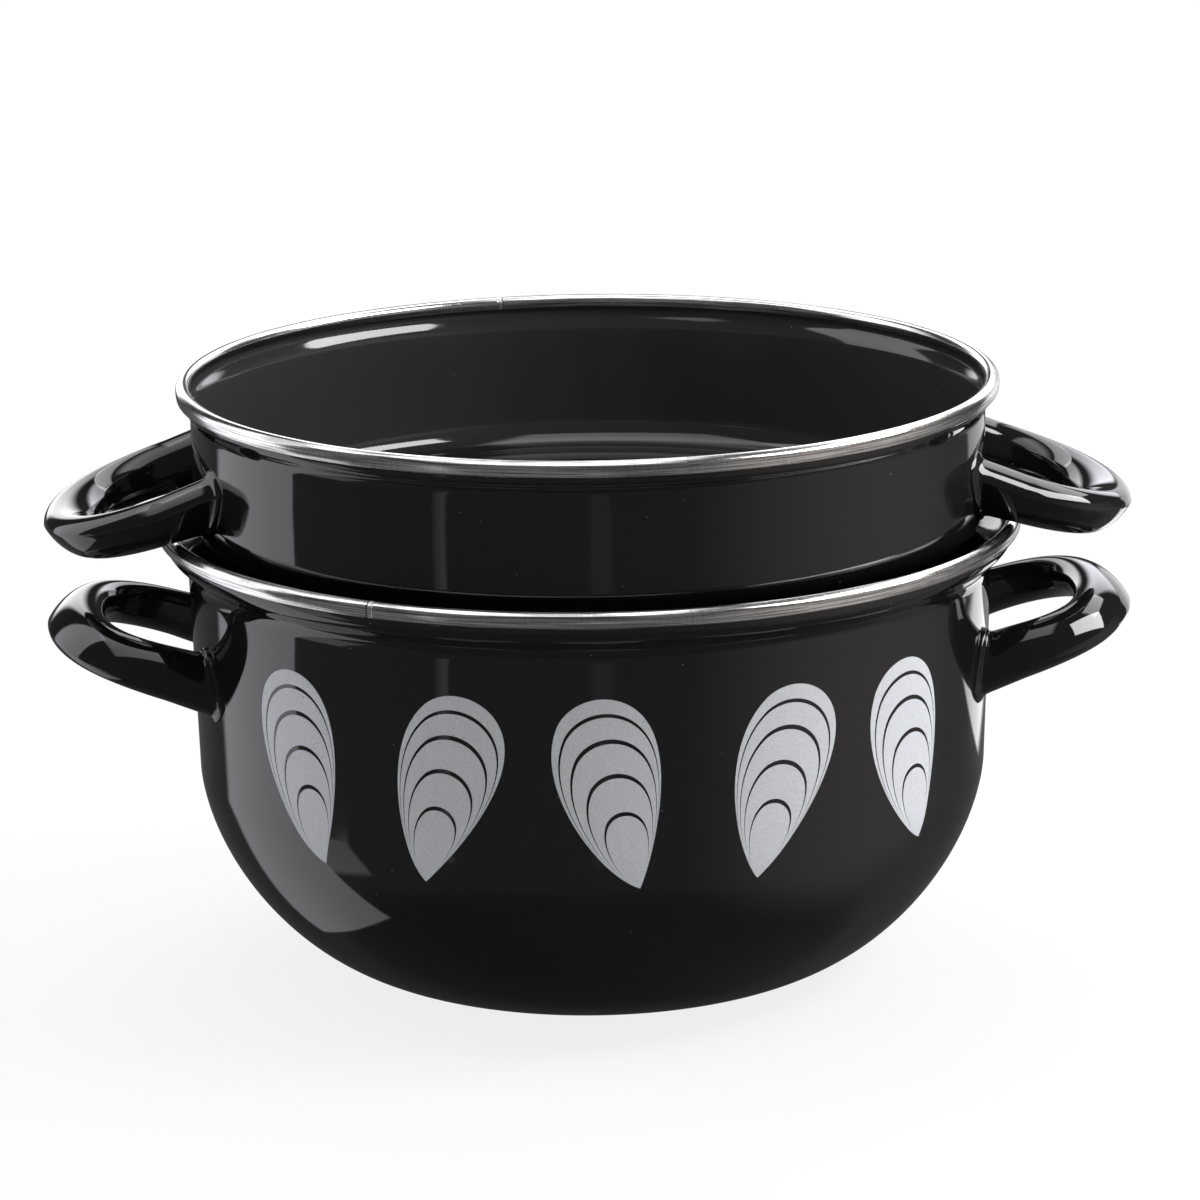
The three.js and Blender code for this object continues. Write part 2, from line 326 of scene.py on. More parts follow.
print("the lid reaches", round(LID_TOP, 1), "mm and the pot's wall ends at", round(POT_SHOULDER_HEIGHT, 1))

# %% Outline rules
FLARE_BEND, FLARE_STEPS = 0.52, 18


def arc(centre, radius, start, end, steps):
    turns = np.radians(np.linspace(start, end, steps + 1))
    return np.stack([centre[0] + radius * np.cos(turns), centre[1] + radius * np.sin(turns)], 1)


def bezier(a, b, c, d, steps):
    t = np.linspace(0.0, 1.0, steps + 1)[:, None]
    a, b, c, d = (np.array(p, float) for p in (a, b, c, d))
    return (1 - t) ** 3 * a + 3 * (1 - t) ** 2 * t * b + 3 * (1 - t) * t * t * c + t ** 3 * d


def flare(wall_start, wall_end, height, lip_radius):
    bend = FLARE_BEND * height
    lean = (wall_end[0] - wall_start[0]) / (wall_end[1] - wall_start[1])
    leave = (wall_end[0] + lean * bend, wall_end[1] + bend)
    arrive = (lip_radius, wall_end[1] + bend)
    return bezier(wall_end, leave, arrive, (lip_radius, wall_end[1] + height), FLARE_STEPS)


def offset(profile, distance):
    ahead = np.diff(profile, axis=0)
    ahead /= np.linalg.norm(ahead, axis=1)[:, None]
    into = np.vstack([ahead[:1], ahead])
    out = np.vstack([ahead, ahead[-1:]])
    mitre = (distance / (1 + (into * out).sum(1)))[:, None]
    return profile + np.stack([into[:, 1] + out[:, 1], -(into[:, 0] + out[:, 0])], 1) * mitre


def rounded_side(start, rounds):
    points = [np.array(start)]
    for radius, first, last, steps in rounds:
        lean = np.radians(np.linspace(first, last, steps + 1))
        turned_by = radius * np.stack([np.sin(lean) - np.sin(lean[0]), np.cos(lean) - np.cos(lean[0])], 1)
        points += list(points[-1] + turned_by[1:])
    return np.array(points)


print("a quarter round in 4 steps:", len(arc((0, 0), 1, 0, 90, 4)), "points")

# %% The pot's and the lid's outlines
FOOT_RING = [[0.0, 0.8], [50.2, 0.8], [50.6, 0.6], [51.0, 0.0], [56.0, 0.0]]
BELLY_FULLNESS, BELLY_STEPS = 1.67, 57


def pot_outline():
    turn = np.linspace(np.pi / 2, 0.0, BELLY_STEPS)
    power = 2 / BELLY_FULLNESS
    reach = POT_FOOT + (POT_BELLY - POT_FOOT) * np.cos(turn).clip(0) ** power
    rise = POT_BELLY_HEIGHT * (1 - np.sin(turn) ** power)
    belly = np.stack([reach, rise], 1)
    shoulder = (POT_SHOULDER, POT_SHOULDER_HEIGHT)
    wall = np.linspace(belly[-1], shoulder, 5)[1:-1]
    neck = flare(belly[-1], shoulder, POT_FLARE, POT_MOUTH - LIP / 2 + SHEET)
    return np.vstack([FOOT_RING, belly, wall, neck])


def lid_outline():
    corner = arc((LID_WALL - LID_CORNER, LID_BASE + LID_CORNER), LID_CORNER, -90, 0, 20)
    shoulder = (LID_WALL, LID_SHOULDER_HEIGHT)
    wall = np.linspace(corner[-1], shoulder, 4)[1:-1]
    neck = flare(corner[-1], shoulder, LID_FLARE, LID_MOUTH - LIP / 2 + SHEET)
    return np.vstack([[[0.0, LID_BASE], [LID_FLAT, LID_BASE]], corner, wall, neck])


pot_outer, lid_outer = pot_outline(), lid_outline()
print("outline points:", len(pot_outer), "pot,", len(lid_outer), "lid")

# %% Closed profiles of a shell and of a band
BAND_INNER_LEG, BAND_SOFT, BAND_SLANT = 3.4, 0.18, 0.02
CURL_OUT, CURL_UP = 0.06, 0.04
BAND_ROUNDS = ((0.82, 0, 24, 5), (3.5, 24, 46, 8), (1.9, 46, 88, 12), (7.0, 88, 104, 8), (0.5, 104, 170, 6))


def shell_profile(outer, mouth, lip_top):
    half = LIP / 2
    fold = [[mouth + half, outer[-1][1] + mouth + half - outer[-1][0]]]
    over = arc((mouth, lip_top - half), half, 180, 0, 12)
    inner = offset(outer, -SHEET)
    inner[0][0] = 0.0
    return np.vstack([inner, over, fold, outer[::-1]])


def band_profile(mouth, top):
    centre = (mouth, top - BAND_ROUND)
    inner_side = mouth - BAND_ROUND
    inner_edge = top - BAND_INNER_LEG
    outside = rounded_side([mouth, top], BAND_ROUNDS)
    return np.vstack([
        [[inner_side + BAND, inner_edge + BAND_SLANT], [inner_side + BAND_SOFT, inner_edge]],
        [[inner_side, inner_edge + BAND_SOFT]],
        arc(centre, BAND_ROUND, 180, 90, 12)[:-1],
        outside,
        [[mouth + LIP / 2 + CURL_OUT, outside[-1][1] + CURL_UP]],
        arc(centre, BAND_ROUND - BAND, 0, 180, 14),
    ])


pot_profile = shell_profile(pot_outer, POT_MOUTH, POT_LIP_TOP)
lid_profile = shell_profile(lid_outer, LID_MOUTH, LID_LIP_TOP)
print("profile points:", len(pot_profile), "pot,", len(lid_profile), "lid")

# %% How every modelling tree starts and ends
def tree_with_inputs(name, inputs):
    tree = bpy.data.node_groups.new(name, "GeometryNodeTree")
    for label, kind in inputs:
        tree.interface.new_socket(name=label, in_out="INPUT", socket_type="NodeSocket" + kind)
    tree.interface.new_socket(name="Geometry", in_out="OUTPUT", socket_type="NodeSocketGeometry")
    given = tree.nodes.new("NodeGroupInput")
    return tree, [Signal(given.outputs[i]) for i in range(len(inputs))]


def end_tree(tree, geometry, weld, material):
    closed = Signal.make(tree, "GeometryNodeMergeByDistance", {}, {"Geometry": geometry, "Distance": weld})
    real = Signal.make(tree, "GeometryNodeRealizeInstances", {}, {"Geometry": closed})
    dressed = Signal.make(tree, "GeometryNodeSetMaterial", {}, {"Geometry": real, "Material": material})
    Signal.make(tree, "NodeGroupOutput", {}, {"Geometry": dressed})
    return tree


print("modelling trees so far:", len(bpy.data.node_groups))

# %% A tree that sweeps a profile round the axis
TURNING_INPUTS = (("Profile", "Geometry"), ("Rail Radius", "Float"), ("Segments", "Int"),
                  ("Start Turn", "Float"), ("Sweep Turn", "Float"))
SWEEP_WELD = 2e-6


def turning_tree(name, material, slit):
    tree, (profile, radius, segments, start, sweep) = tree_with_inputs(name, TURNING_INPUTS)
    sizes = {"Resolution": segments, "Radius": radius}
    if slit:
        sizes.update({"Start Angle": start, "Sweep Angle": sweep})
        rail = Signal.make(tree, "GeometryNodeCurveArc", {"mode": "RADIUS"}, sizes)
    else:
        rail = Signal.make(tree, "GeometryNodeCurvePrimitiveCircle", {"mode": "RADIUS"}, sizes)
    line = Signal.make(tree, "GeometryNodeMeshToCurve", {}, {"Mesh": profile})
    swept = {"Curve": rail, "Profile Curve": line, "Fill Caps": slit}
    skin = Signal.make(tree, "GeometryNodeCurveToMesh", {}, swept)
    return end_tree(tree, skin, SWEEP_WELD, material)


shell_tree = turning_tree("turned_shell", enamel, False)
print("tree:", shell_tree.name, len(shell_tree.nodes), "nodes")

# %% Running a tree and keeping a plain mesh
SMOOTH_TURN = 38.0


def run_tree(piece, tree, values):
    bpy.context.scene.collection.objects.link(piece)
    modifier = piece.modifiers.new(tree.name, "NODES")
    modifier.node_group = tree
    for item in tree.interface.items_tree:
        if item.in_out == "INPUT" and item.name in values:
            modifier[item.identifier] = values[item.name]
    shaped = piece.evaluated_get(bpy.context.evaluated_depsgraph_get())
    plain = bpy.data.meshes.new_from_object(shaped)
    piece.modifiers.clear()
    raw = piece.data
    piece.data = plain
    plain.name = piece.name
    bpy.data.meshes.remove(raw)


def soften(piece, angle=SMOOTH_TURN):
    for face in piece.data.polygons:
        face.use_smooth = True
    piece.data.set_sharp_from_angle(angle=math.radians(angle))


def turned(name, profile, rail, segments, tree, start=0.0, sweep=360.0, loop=False):
    mesh = bpy.data.meshes.new(name)
    points = [((r - rail) * MM, -z * MM, 0.0) for r, z in profile]
    edges = [(i, i + 1) for i in range(len(points) - 1)]
    if loop:
        edges.append((len(points) - 1, 0))
    mesh.from_pydata(points, edges, [])
    piece = bpy.data.objects.new(name, mesh)
    sizes = {"Rail Radius": rail * MM, "Segments": segments,
             "Start Turn": math.radians(start), "Sweep Turn": math.radians(sweep)}
    run_tree(piece, tree, sizes)
    soften(piece)
    print(name, len(piece.data.vertices), "points", len(piece.data.polygons), "faces")
    return piece


def dress(piece, body, node):
    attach(piece, body)
    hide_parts(node)


print("edges that turn by more than", SMOOTH_TURN, "degrees stay sharp")

# %% [markdown]
# ## The two shells
# The pot and the lid are the same kind of pressing. Both are turned from their outlines with fine steps,
# because a black mirror shows every flat. Points of the inner skin carry a value for the enamel to read,
# which makes it duller and paints it lighter as painted light: it is full on the steep walls and fades to
# almost nothing on level ground.

# %% Pot and lid shells
SHELL_SEGMENTS, LEVEL_FADE = 240, 0.95


def read_points(mesh, field):
    values = np.zeros(len(mesh.vertices) * 3)
    mesh.vertices.foreach_get(field, values)
    return values.reshape(-1, 3)


# The inner skin's value makes the enamel duller and paints it lighter as painted light, most on steep walls
def mark_inside_dull_painted_lighter(piece, outer):
    mesh = piece.data
    at = read_points(mesh, "co")
    here = np.stack([np.hypot(at[:, 0], at[:, 1]), at[:, 2]], 1)
    inner = offset(outer, -SHEET) * MM
    skin = np.vstack([inner, outer * MM])
    nearest = np.array([np.argmin(((skin - p) ** 2).sum(1)) for p in here])
    level = np.abs(read_points(mesh, "normal")[:, 2])
    dull_and_painted_lighter = (nearest < len(inner)) * (1 - LEVEL_FADE * level)
    layer = mesh.attributes.new("inside", "FLOAT", "POINT")
    layer.data.foreach_set("value", dull_and_painted_lighter.astype(np.float32))


pot_shell = turned("pot_shell", pot_profile, POT_FOOT, SHELL_SEGMENTS, shell_tree)
lid_shell = turned("lid_shell", lid_profile, POT_FOOT, SHELL_SEGMENTS, shell_tree)
mark_inside_dull_painted_lighter(pot_shell, pot_outer)
mark_inside_dull_painted_lighter(lid_shell, lid_outer)
dress(pot_shell, "pot", "pot_body")
dress(lid_shell, "lid", "lid_body")

# %% [markdown]
# ## The rim bands
# Each band is a strip bent to an upturned U and rolled over a lip. It is the same sweep, but round an arc
# that stops just short of a full turn, so the slit between the two ends of the strip stays open. Its outer
# side is rounded: the upper part catches the light from overhead as a bright line, and the lower edge
# curls under.

# %% Rim bands of the pot and the lid
BAND_SEGMENTS, SLIT = 360, 0.3
POT_SEAM, LID_SEAM = 238.0, 100.0


def rim_band(name, mouth, top, seam_turn):
    steel = steel_finish(name + "_steel", mouth * MM, seam_turn)
    tell_finish(steel)
    gap = math.degrees(SLIT / mouth)
    tree = turning_tree(name + "_turning", steel, True)
    profile = band_profile(mouth, top)
    return turned(name, profile, mouth, BAND_SEGMENTS, tree, seam_turn + gap / 2, 360.0 - gap, loop=True)


pot_band = rim_band("pot_band", POT_MOUTH, POT_HEIGHT, POT_SEAM)
lid_band = rim_band("lid_band", LID_MOUTH, LID_TOP, LID_SEAM)
dress(pot_band, "pot", "pot_rim_band")
dress(lid_band, "lid", "lid_rim_band")

# %% [markdown]
# ## The loop handles
# A handle is a hollow tube pressed from sheet, with a broad crown for the fingers and a pinched heel, a
# ridge where the edges of the sheet meet. It leans outward, rises to its end, is fuller on the inner side
# of that end, and is welded to the wall by two feet. Its section changes all the way round, so it is
# lofted ring by ring. At each foot the rings swell to a bead, because the enamel runs over the weld.

# %% Handle: the section at one place
BAR, BEND, RUN, RISE = 32.0, 24.0, 31.4, 8.5
HALF, HEEL, LEAN = 5.2, 4.7, 4.0
END_DEPTH, FOOT_DEPTH = 11.9, 15.8
PINCH, PINCH_RATE = 0.45, 1.6
END_FLESH, FLESH_POWER = 0.95, 1.5
ROUND = 56


def handle_section(x, y, outward, grow=0.0):
    share = -x / RUN
    top = -RISE * share + grow
    height = END_DEPTH + (FOOT_DEPTH - END_DEPTH) * share + 2 * grow
    heel = HEEL + grow
    half = HALF + grow
    middle = top - height + heel
    turn = np.linspace(0.0, 2 * np.pi, ROUND, endpoint=False)
    up = np.sin(turn)
    pinch = np.where(up < 0, 1 + PINCH * np.clip(share * PINCH_RATE, 0.0, 1.0), 1.0)
    swing = np.sign(np.cos(turn)) * np.abs(np.cos(turn)) ** pinch
    thick = 1 + END_FLESH * np.clip(1 - share * RUN / BEND, 0.0, 1.0) ** FLESH_POWER
    side = half * np.where(swing < 0, swing * thick, swing) + LEAN * (1 - np.clip(up, 0.0, None))
    z = middle + np.sign(up) * np.abs(up) ** pinch * np.where(up > 0, height - heel, heel)
    return np.stack([x + outward[0] * side, y + outward[1] * side, z], 1)


print("a handle's section has", len(handle_section(0.0, 0.0, (1.0, 0.0))), "points")

# %% Handle: rings of a foot, cut to the wall
WELD_BEAD = ((-0.5, 1.65), (0.0, 1.65), (0.35, 1.62), (0.7, 1.50), (1.0, 1.25), (1.2, 0.92), (1.3, 0.6),
             (1.45, 0.38), (1.8, 0.2), (2.3, 0.08), (3.0, 0.0))
FIRST_GUESS, FITTING_ROUNDS = 106.0, 4


def foot_rings(wall_at, tip, tip_height, flip, side):
    rings = []
    for lift, grow in WELD_BEAD:
        x = np.full(ROUND, FIRST_GUESS - tip)
        for _ in range(FITTING_ROUNDS):
            ring = np.array([handle_section(x[i], side * BAR, (0.0, side), grow)[i] for i in range(ROUND)])
            z = tip_height + flip * ring[:, 2]
            x = np.sqrt(wall_at(z) ** 2 - ring[:, 1] ** 2) + lift - tip
        ring[:, 0] = x
        rings.append(ring)
    return rings


print("rings in a foot:", len(WELD_BEAD))

# %% Handle: rings from one foot to the other
BEND_FULLNESS, BEND_STEPS, BAR_STEPS = 0.63, 30, 9


def bend_points(steps):
    near_bar, near_end = (-BEND * (1 - BEND_FULLNESS), BAR), (0.0, BAR * BEND_FULLNESS)
    quarter = bezier((-BEND, BAR), near_bar, near_end, (0.0, 0.0), steps)
    return np.vstack([quarter, (quarter[:-1] * [1, -1])[::-1]])


def bar_ring(x, side):
    return np.array([handle_section(x[i], side * BAR, (0.0, side))[i] for i in range(ROUND)])


def handle_rings(wall_at, tip, tip_height, flip):
    first = foot_rings(wall_at, tip, tip_height, flip, 1.0)
    last = foot_rings(wall_at, tip, tip_height, flip, -1.0)
    start = first[-1][:, 0]
    shares = np.linspace(0.0, 1.0, BAR_STEPS)[1:-1]
    bars = [bar_ring(start + (-BEND - start) * share, 1.0) for share in shares]
    backs = [bar_ring(start + (-BEND - start) * share, -1.0) for share in shares]
    path = bend_points(BEND_STEPS)
    along = np.gradient(path, axis=0)
    along[0], along[-1] = (1.0, 0.0), (-1.0, 0.0)
    along /= np.linalg.norm(along, axis=1)[:, None]
    bend = [handle_section(p[0], p[1], (-a[1], a[0])) for p, a in zip(path, along)]
    return first + bars + bend + backs[::-1] + last[::-1]


print("rings in the bend:", len(bend_points(BEND_STEPS)))

# %% Handle: faces between the rings and over both ends
def ring_faces(count):
    faces = []
    for ring in range(count - 1):
        low, high = ring * ROUND, (ring + 1) * ROUND
        for i in range(ROUND):
            after = (i + 1) % ROUND
            faces.append((low + i, low + after, high + after, high + i))
    end = (count - 1) * ROUND
    faces.append(tuple(range(ROUND - 1, -1, -1)))
    faces.append(tuple(range(end, end + ROUND)))
    return faces


print("two rings make", len(ring_faces(2)), "faces")

# %% Handle: a closed mesh from the rings
HANDLE_SMOOTH_TURN = 50.0


def mesh_box(mesh):
    at = read_points(mesh, "co")
    return np.concatenate([at.min(0), at.max(0)]).tolist()


def handle(name, wall_at, tip, tip_height, flip, turn):
    rings = handle_rings(wall_at, tip, tip_height, flip)
    points = np.vstack(rings)
    points[:, 2] = tip_height + flip * points[:, 2]
    points[:, 0] += tip
    if turn:
        points[:, :2] *= -1
    faces = ring_faces(len(rings))
    if flip < 0:
        faces = [face[::-1] for face in faces]
    mesh = bpy.data.meshes.new(name)
    mesh.from_pydata((points * MM).tolist(), [], faces)
    mesh.materials.append(enamel)
    piece = bpy.data.objects.new(name, mesh)
    bpy.context.scene.collection.objects.link(piece)
    soften(piece, HANDLE_SMOOTH_TURN)
    print(name, len(mesh.vertices), "points, box", [round(v, 4) for v in mesh_box(mesh)])
    return piece


print("a handle's edges stay smooth up to", HANDLE_SMOOTH_TURN, "degrees")

# %% Four handles
HANDLE_TIP, POT_TIP_HEIGHT, LID_TIP_HEIGHT = 143.2, 107.1, 121.65


def pot_wall(z):
    share = (z - POT_BELLY_HEIGHT) / (POT_SHOULDER_HEIGHT - POT_BELLY_HEIGHT)
    return POT_BELLY + (POT_SHOULDER - POT_BELLY) * share


def lid_wall(z):
    return np.full_like(z, LID_WALL)


for place, turn in (("right", False), ("left", True)):
    on_pot = handle("pot_loop_" + place, pot_wall, HANDLE_TIP, POT_TIP_HEIGHT, 1.0, turn)
    dress(on_pot, "pot", "pot_handle_" + place)
    on_lid = handle("lid_loop_" + place, lid_wall, HANDLE_TIP, LID_TIP_HEIGHT, -1.0, turn)
    dress(on_lid, "lid", "lid_handle_" + place)

# %% [markdown]
# ## The print
# The front carries a plain row of mussel shells in silver grey. One shell is drawn flat: an outline with a
# point at the hinge and a round far end, and growth lines left open in it. A Geometry Nodes tree repeats
# it along the row, leans each one the other way from the last, and drops the row on to the pot by casting
# every point at the wall. A second skin a few hundredths of a millimetre out closes it.

# %% One shell, drawn flat
SHELL_LENGTH, SHELL_STEPS, ROW_STEP = 54.0, 22, 2.2
GROWTH_LINES = ((0.40, 0.011), (0.60, 0.012), (0.78, 0.012), (0.915, 0.010), (1.0, 0.0))
LINE_TAPER, LINE_START = 0.10, 0.55


def shell_outline(steps):
    left = bezier((0.0, 0.0), (-9.0, 6.0), (-21.0, 34.0), (-10.0, 49.0), steps)
    crown = bezier((-10.0, 49.0), (-4.0, 56.5), (9.0, 55.5), (13.0, 45.0), steps)
    right = bezier((13.0, 45.0), (17.5, 33.0), (8.0, 12.0), (0.0, 0.0), steps)
    return np.vstack([left[:-1], crown[:-1], right])


def shell_motif():
    outline = shell_outline(SHELL_STEPS)
    count = len(outline)
    t = np.linspace(0.0, 1.0, count)
    fade = np.clip(np.minimum(t, 1 - t) / LINE_TAPER - LINE_START, 0.0, 1.0)
    fade = fade * fade * (3 - 2 * fade)
    levels, open_after = [np.full(count, 0.0)], set()
    for line, width in GROWTH_LINES:
        start, end = levels[-1], line - width * fade
        rows = max(2, round((line - start.mean()) * SHELL_LENGTH / ROW_STEP))
        levels += [start + (end - start) * i / rows for i in range(1, rows + 1)]
        if width:
            open_after.add(len(levels) - 1)
            levels.append(line + width * fade)
    points = np.vstack([outline * level[:, None] for level in levels]) - [0.0, SHELL_LENGTH / 2]
    faces = []
    for row in range(len(levels) - 1):
        if row in open_after:
            continue
        for i in range(count - 1):
            a, b = row * count + i, (row + 1) * count + i
            faces.append((a, a + 1, b + 1, b))
    return points, faces


motif_points, motif_faces = shell_motif()
print("motif:", len(motif_points), "points", len(motif_faces), "faces")

# %% A row of leaning shells, still flat
PRINT_INPUTS = (("Motif", "Geometry"), ("Wall", "Object"), ("Count", "Int"), ("Spacing", "Float"),
                ("Lean", "Float"), ("Height", "Float"), ("Wrap Radius", "Float"), ("Lift", "Float"),
                ("Ink", "Float"))


def flat_row(tree, motif, count, spacing, lean, height):
    step = joined(tree, X=spacing)
    start = joined(tree, X=(count - 1.0) * spacing * -0.5, Y=height)
    line = {"Count": count, "Start Location": start, "Offset": step}
    row = Signal.make(tree, "GeometryNodeMeshLine", {"mode": "OFFSET", "count_mode": "TOTAL"}, line)
    odd = Signal.make(tree, "GeometryNodeInputIndex").calculate("MODULO", 2.0)
    tilt = joined(tree, Z=lean - odd * lean * 2.0)
    turn = Signal.make(tree, "FunctionNodeEulerToRotation", {}, {"Euler": tilt})
    copies = {"Points": row, "Instance": motif, "Rotation": turn}
    shells = Signal.make(tree, "GeometryNodeInstanceOnPoints", {}, copies)
    flat = Signal.make(tree, "GeometryNodeRealizeInstances", {}, {"Geometry": shells})
    return Signal.make(tree, "GeometryNodeMergeByDistance", {}, {"Geometry": flat, "Distance": SWEEP_WELD})


print("the row is set by:", [label for label, _ in PRINT_INPUTS])

# %% Dropping the row on the wall and giving it a skin of ink
INK_WELD, RAY_LENGTH = 1e-6, 1.0


def landing_place(tree, wall, wrap, lift):
    place = Signal.make(tree, "GeometryNodeInputPosition")
    x, y = parts(tree, place, "XY")
    angle = x / wrap
    sine, cosine = angle.calculate("SINE"), angle.calculate("COSINE")
    far = joined(tree, X=sine * wrap * 2.0, Y=cosine * wrap * -2.0, Z=y)
    inward = joined(tree, X=sine * -1.0, Y=cosine)
    target = Signal.make(tree, "GeometryNodeObjectInfo", {}, {"Object": wall}, "Geometry")
    rays = {"Target Geometry": target, "Source Position": far, "Ray Direction": inward,
            "Ray Length": RAY_LENGTH}
    struck = Signal.make(tree, "GeometryNodeRaycast", {}, rays, "Hit Position")
    outward = {0: struck.sibling("Hit Normal"), "Scale": lift}
    raised = Signal.make(tree, "ShaderNodeVectorMath", {"operation": "SCALE"}, outward)
    return Signal.make(tree, "ShaderNodeVectorMath", {"operation": "ADD"}, {0: struck, 1: raised})


def print_tree(material):
    tree, given = tree_with_inputs("printed_row", PRINT_INPUTS)
    motif, wall, count, spacing, lean, height, wrap, lift, ink = given
    flat = flat_row(tree, motif, count, spacing, lean, height)
    landed = landing_place(tree, wall, wrap, lift)
    under = Signal.make(tree, "GeometryNodeSetPosition", {}, {"Geometry": flat, "Position": landed})
    skin = {"Mesh": under, "Offset Scale": ink, "Individual": False}
    skin = Signal.make(tree, "GeometryNodeExtrudeMesh", {"mode": "FACES"}, skin)
    back = Signal.make(tree, "GeometryNodeFlipFaces", {}, {"Mesh": under})
    both = Signal.make(tree, "GeometryNodeJoinGeometry", {}, {"Geometry": [skin, back]})
    return end_tree(tree, both, INK_WELD, material)


row_tree = print_tree(silver)
print("tree:", row_tree.name, len(row_tree.nodes), "nodes")

# %% The printed row on the front of the pot
PRINT_SMOOTH_TURN = 40.0
flat_motif = bpy.data.meshes.new("printed_shells")
flat_motif.from_pydata([(x * MM, y * MM, 0.0) for x, y in motif_points], [], motif_faces)
printed = bpy.data.objects.new("printed_shells", flat_motif)
row_sizes = {"Wall": pot_shell, "Count": 5, "Spacing": 46.0 * MM, "Lean": math.radians(14.0),
             "Height": 77.0 * MM, "Wrap Radius": 111.5 * MM, "Lift": 1.5e-5, "Ink": 5.0e-5}
run_tree(printed, row_tree, row_sizes)
soften(printed, PRINT_SMOOTH_TURN)
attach(printed, "pot")
print("print:", len(printed.data.vertices), "points", len(printed.data.polygons), "faces")

# %% [markdown]
# ## The floor and the room
# A black mirror shows all that stands round it, and on a white ground that would be white. In the
# photograph the enamel mirrors a dark studio instead, and the white ground is a cut-out. So the floor and
# the room are white to the camera, with the pot's soft shadow near it, while the enamel sees the floor at
# a small share and a dim room that is darker below and behind. Light Path tells the two kinds of ray
# apart.

# %% Floor
FLOOR_SHARE, FLOOR_PALE, FLOOR_GRAIN, FLOOR_SCALE = 0.05, 0.64, 0.01, 40.0
WHITE_NEAR, NEAR, FAR = 0.84, 0.14, 0.36


def ray_kinds(tree):
    camera_ray = Signal.make(tree, "ShaderNodeLightPath", take="Is Camera Ray")
    glossy = camera_ray.sibling("Is Glossy Ray")
    through = camera_ray.sibling("Is Transmission Ray")
    return camera_ray, (glossy + through).calculate("MINIMUM", 1.0)


def floor_finish():
    material, tree = blank_finish("pale_floor")
    camera_ray, mirrored = ray_kinds(tree)
    place = place_on(tree)
    reach = Signal.make(tree, "ShaderNodeVectorMath", {"operation": "LENGTH"}, {0: place}, "Value")
    grain = noise(tree, place, FLOOR_SCALE)
    pale = blend_colour(tree, grain, grey(FLOOR_PALE - FLOOR_GRAIN), grey(FLOOR_PALE + FLOOR_GRAIN))
    matt = Signal.make(tree, "ShaderNodeBsdfDiffuse", {}, {"Color": pale})
    white = Signal.make(tree, "ShaderNodeEmission", {}, {"Color": grey(1.0), "Strength": 1.0})
    clear = Signal.make(tree, "ShaderNodeBsdfTransparent")
    bright = camera_ray * (WHITE_NEAR + reach.ramp(NEAR, FAR) * (1.0 - WHITE_NEAR))
    seen = Signal.make(tree, "ShaderNodeMixShader", {}, {0: bright, 1: matt, 2: white})
    faint = mirrored * (1.0 - FLOOR_SHARE)
    surface = Signal.make(tree, "ShaderNodeMixShader", {}, {0: faint, 1: seen, 2: clear})
    Signal.make(tree, "ShaderNodeOutputMaterial", {}, {"Surface": surface})
    return material


def make_floor(half, drop):
    mesh = bpy.data.meshes.new("floor")
    corners = [(-half, -half, -drop), (half, -half, -drop), (half, half, -drop), (-half, half, -drop)]
    mesh.from_pydata(corners, [], [(0, 1, 2, 3)])
    mesh.materials.append(floor_finish())
    floor = bpy.data.objects.new("floor", mesh)
    bpy.context.scene.collection.objects.link(floor)
    return floor


floor = make_floor(half=4.0, drop=0.0002)
print("floor:", floor.name, [round(v, 2) for v in floor.dimensions])

# %% Room
ROOM_LIGHT, ROOM_MIRRORED, ROOM_BELOW = 0.22, 0.12, 0.045
BEHIND, BELOW = (0.35, 0.80), (-0.78, -0.66)


def make_room():
    world = bpy.data.worlds.new("room")
    bpy.context.scene.world = world
    world.use_nodes = True
    tree = world.node_tree
    tree.nodes.clear()
    camera_ray, mirrored = ray_kinds(tree)
    way = Signal.make(tree, "ShaderNodeTexCoord", take="Generated")
    back, height = parts(tree, way, "YZ")
    behind = back.ramp(*BEHIND)
    dim = ROOM_BELOW + height.ramp(*BELOW) * (1.0 - behind) * (ROOM_MIRRORED - ROOM_BELOW)
    strength = ROOM_LIGHT + camera_ray * (1.0 - ROOM_LIGHT) + mirrored * (dim - ROOM_LIGHT)
    sky = Signal.make(tree, "ShaderNodeBackground", {}, {"Color": grey(1.0), "Strength": strength})
    Signal.make(tree, "ShaderNodeOutputWorld", {}, {"Surface": sky})
    return world


room = make_room()
print("room:", room.name, len(room.node_tree.nodes), "nodes")

# %% [markdown]
# ## The lamps
# Each lamp is a soft sheet, and the shapes of the sheets are what the enamel draws. On the left stands a
# tall panel, set at an angle and cut to a slant at its foot, for the broad grey band on the walls, with a
# low card beside it. The sheets overhead fade into each other and light the rims. A bright, tilted key and
# a dim, warm wall stand on the right, and more sheets behind put streaks on the handles. Two faint strips
# in front, and a lit patch of the table at the back right, are seen only as reflections. One low lamp on
# the right lights the print, and has no reflection. The lamps are placed by an angle round the pot, nought
# towards the camera and less to the left.

# %% How a lamp glows
CUT_EDGE, RISE_SHARE = 0.07, 0.9


